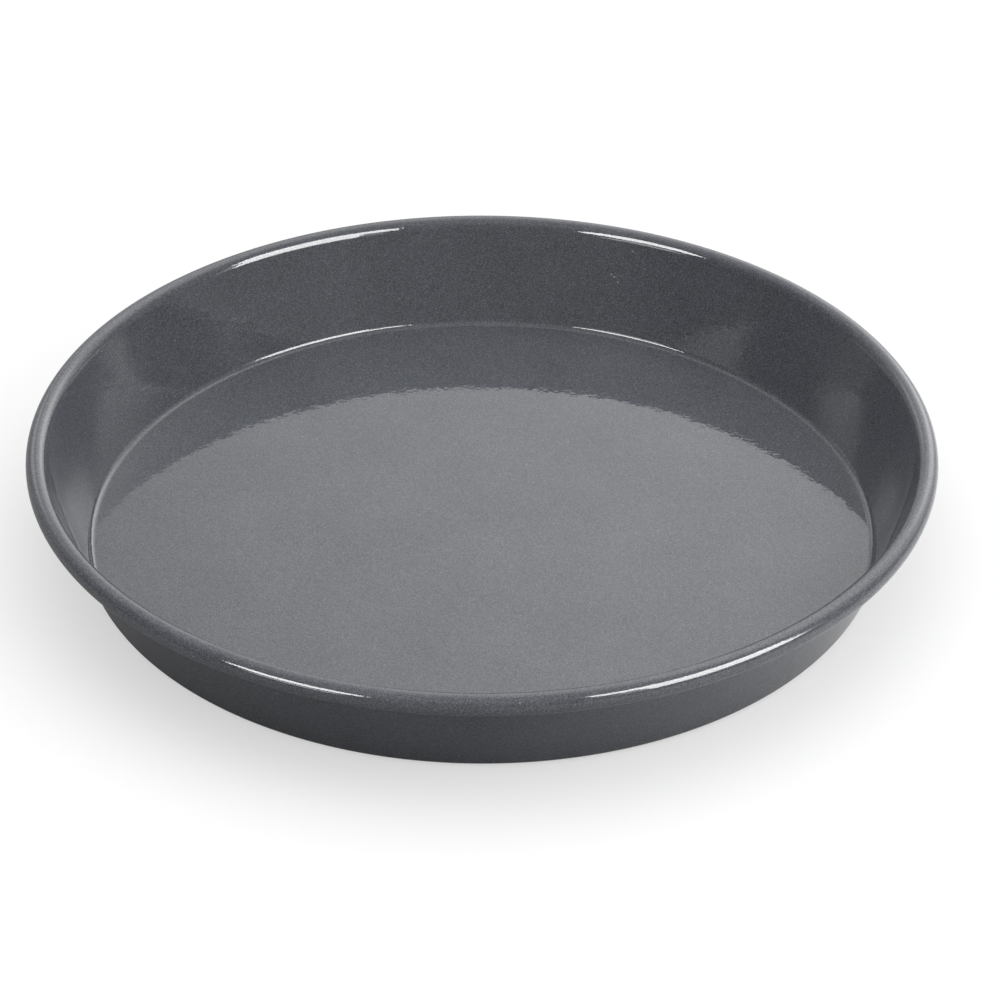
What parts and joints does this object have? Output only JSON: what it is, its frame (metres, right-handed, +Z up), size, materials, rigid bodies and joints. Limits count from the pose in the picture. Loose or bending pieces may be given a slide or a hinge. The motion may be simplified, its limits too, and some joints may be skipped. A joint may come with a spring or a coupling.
{
  "type": "pie dish",
  "caption": "Round shallow pie dish of enamelled sheet steel with a plain leaning side, a flat base and an outward rolled hollow rim, for baking pies and tarts.",
  "frame": {"origin": "centre of the base, on the plane that the dish stands on", "axes": "+Z up along the dish's axis, out of its open top; the dish is round, so X and Y are equal"},
  "size_m": [0.27, 0.27, 0.034],
  "materials": {
    "steel": "satin",
    "enamel": "gloss"
  },
  "bodies": {
    "root": {"steel_pressing": "steel", "enamel_inside": "enamel", "enamel_outside": "enamel"}
  },
  "joints": []
}
